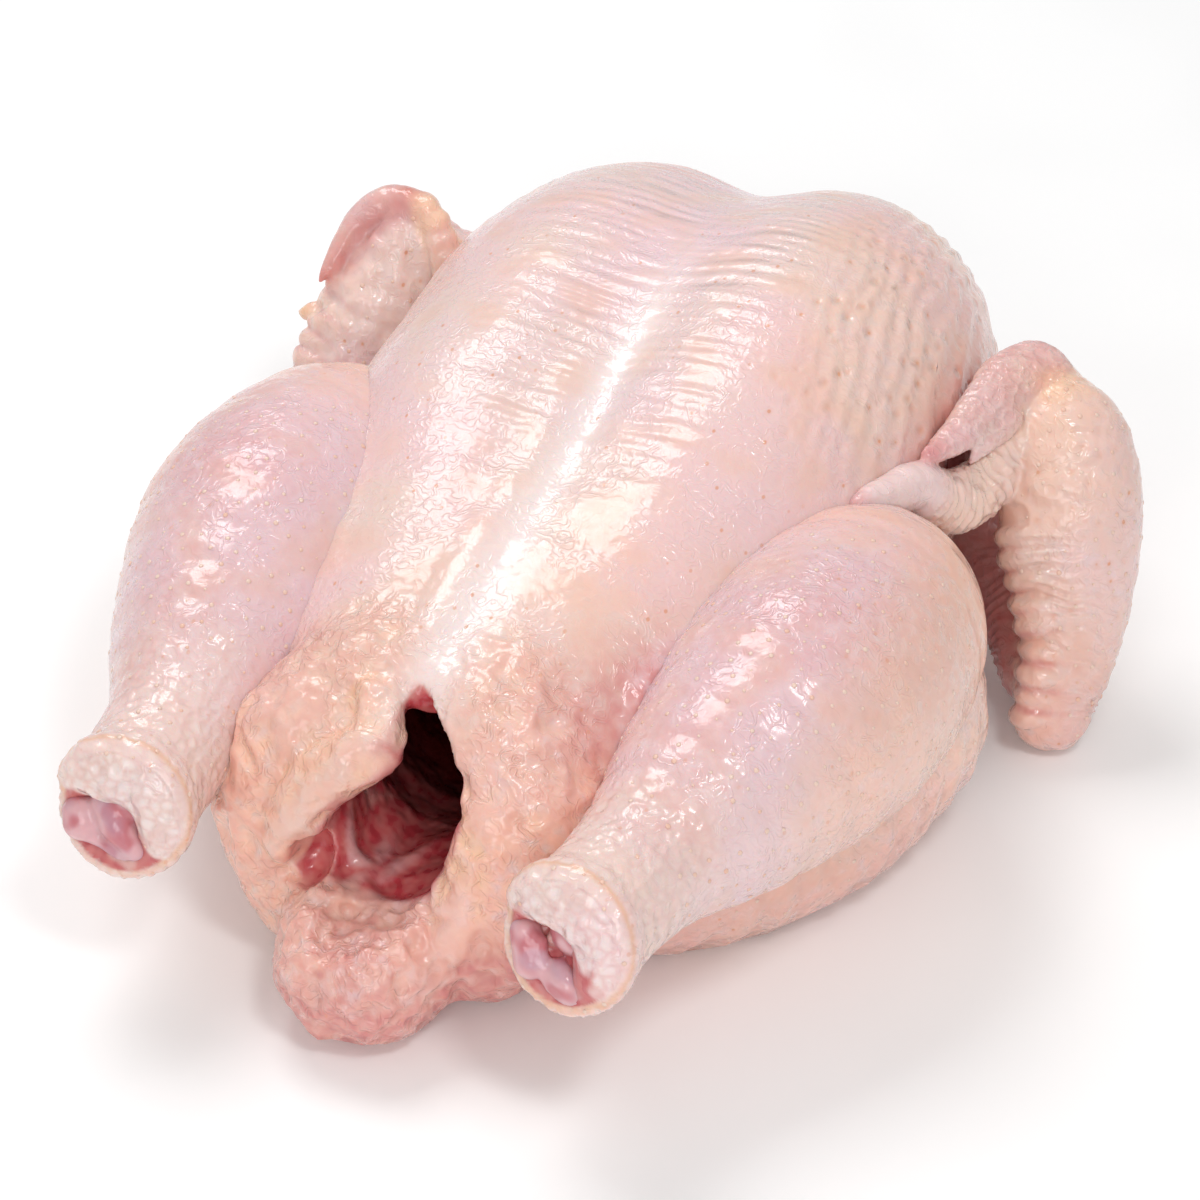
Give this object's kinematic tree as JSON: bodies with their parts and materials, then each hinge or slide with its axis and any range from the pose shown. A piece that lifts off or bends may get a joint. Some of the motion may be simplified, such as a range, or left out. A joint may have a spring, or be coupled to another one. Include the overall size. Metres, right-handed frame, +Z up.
{
  "type": "whole raw chicken",
  "caption": "Whole raw chicken, plucked and drawn, lying on its back with drumsticks cut at the hock, wings folded back and the body hollow open at the vent.",
  "frame": {"origin": "middle of the footprint, on the surface that the bird rests on", "axes": "+Z up through the breast, +Y toward the neck, so the tail and the cut hocks point along -Y, and +X toward the bird's wing and leg on the right as seen from the tail"},
  "size_m": [0.2174, 0.2602, 0.106],
  "materials": {
    "skin": "moist, pale pink raw skin with a soft shine",
    "bone": "moist pink and bluish white bone ends"
  },
  "bodies": {
    "root": {"chicken": "skin", "right_shin_bone": "bone", "left_shin_bone": "bone"}
  },
  "joints": []
}
